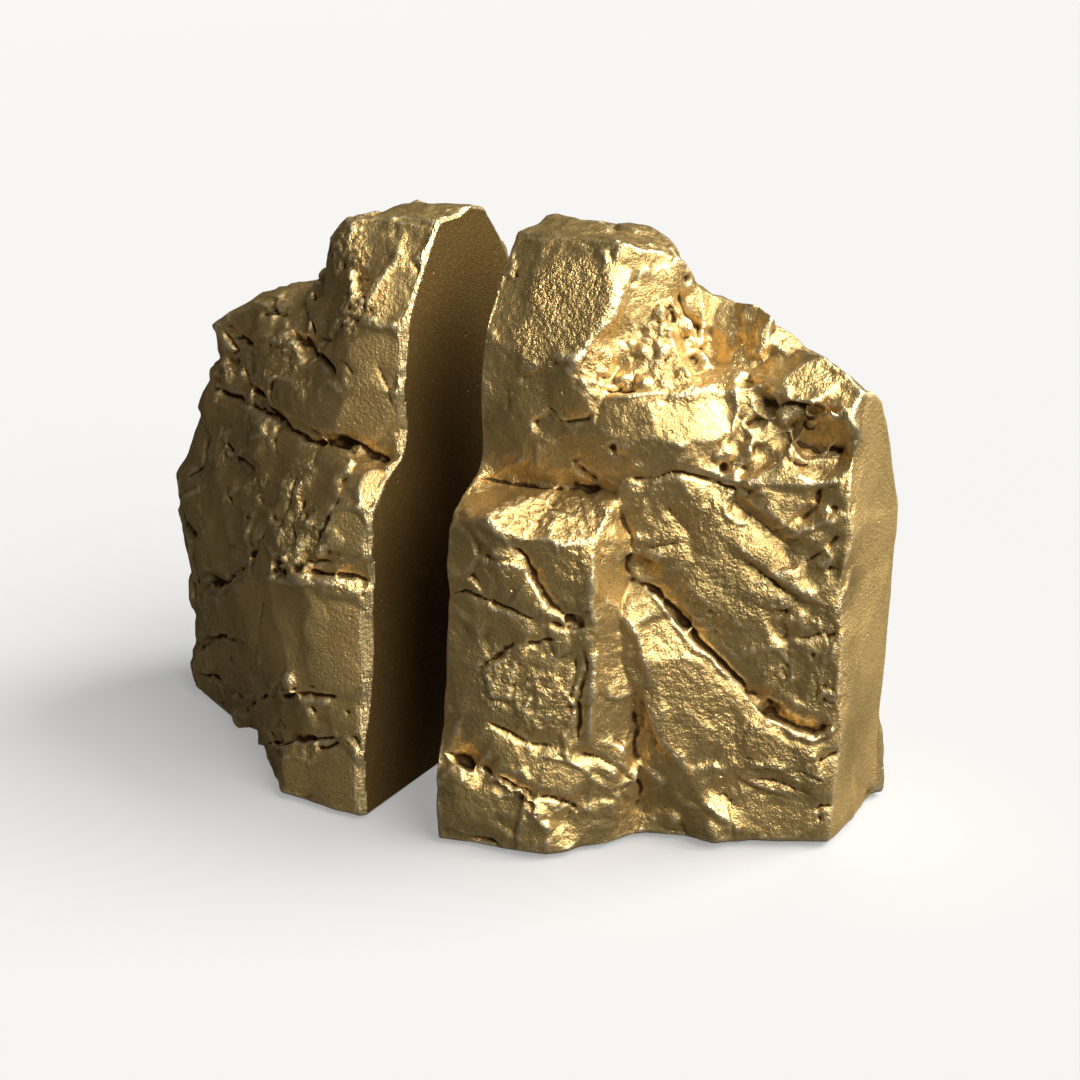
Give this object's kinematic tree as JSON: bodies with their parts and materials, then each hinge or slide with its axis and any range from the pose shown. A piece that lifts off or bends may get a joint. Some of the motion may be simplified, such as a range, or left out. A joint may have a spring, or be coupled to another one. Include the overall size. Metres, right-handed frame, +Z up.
{
  "type": "book ends",
  "caption": "Pair of heavy book ends shaped like a boulder split in two, each with a smooth flat face for books and round felt pads underneath, in metallic gold.",
  "frame": {"origin": "middle of the pair's footprint, on the shelf under the pads", "axes": "+X from the left block to the right block, square to both book faces; +Y to the back; +Z up"},
  "size_m": [0.228, 0.105, 0.169],
  "materials": {
    "gold_paint": "satin metallic gold paint on solid cast stone-filled resin, rough on the rock faces and fine-grained on the book faces",
    "felt": "pressed dark felt, self-adhesive"
  },
  "bodies": {
    "left_book_end": {"left_rock_block": "gold_paint", "left_felt_pad_1": "felt", "left_felt_pad_2": "felt", "left_felt_pad_3": "felt", "left_felt_pad_4": "felt"},
    "right_book_end": {"right_rock_block": "gold_paint", "right_felt_pad_1": "felt", "right_felt_pad_2": "felt", "right_felt_pad_3": "felt", "right_felt_pad_4": "felt"}
  },
  "joints": [
    {"name": "shelf_spacing", "type": "slide", "parent": "left_book_end", "child": "right_book_end", "axis": [1, 0, 0], "range_m": [-0.024, 0.3]}
  ]
}
